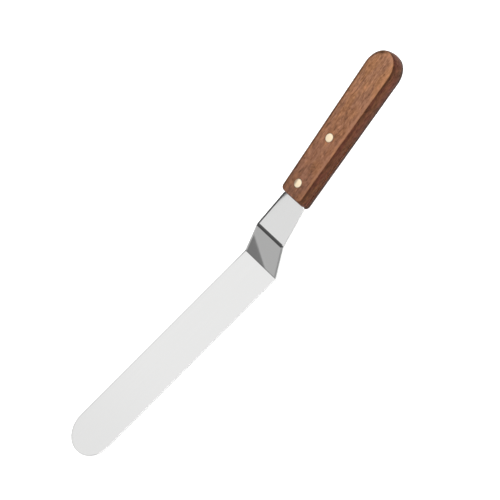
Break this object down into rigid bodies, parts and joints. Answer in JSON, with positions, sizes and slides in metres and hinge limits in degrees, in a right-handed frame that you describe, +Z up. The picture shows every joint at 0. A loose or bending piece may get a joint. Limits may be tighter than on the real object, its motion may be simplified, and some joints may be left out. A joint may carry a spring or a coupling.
{
  "type": "offset spatula",
  "caption": "Offset icing spatula: long flat round-tipped steel blade, cranked neck and riveted wooden handle with a rounded butt.",
  "frame": {"origin": "middle of the flat blade's underside", "axes": "+X along the blade from the round tip toward the handle, +Z up from the flat blade to the raised handle, +Y across the blade"},
  "size_m": [0.3186, 0.0334, 0.0643],
  "materials": {
    "steel": "bright polished stainless steel, faint lengthwise buffing lines",
    "wood": "oiled straight-grained hardwood, satin",
    "brass": "brass, heads ground flush and polished"
  },
  "bodies": {
    "root": {"blade": "steel", "handle": "wood", "front_rivet_post": "brass", "front_rivet_sleeve": "brass", "rear_rivet_post": "brass", "rear_rivet_sleeve": "brass"}
  },
  "joints": []
}
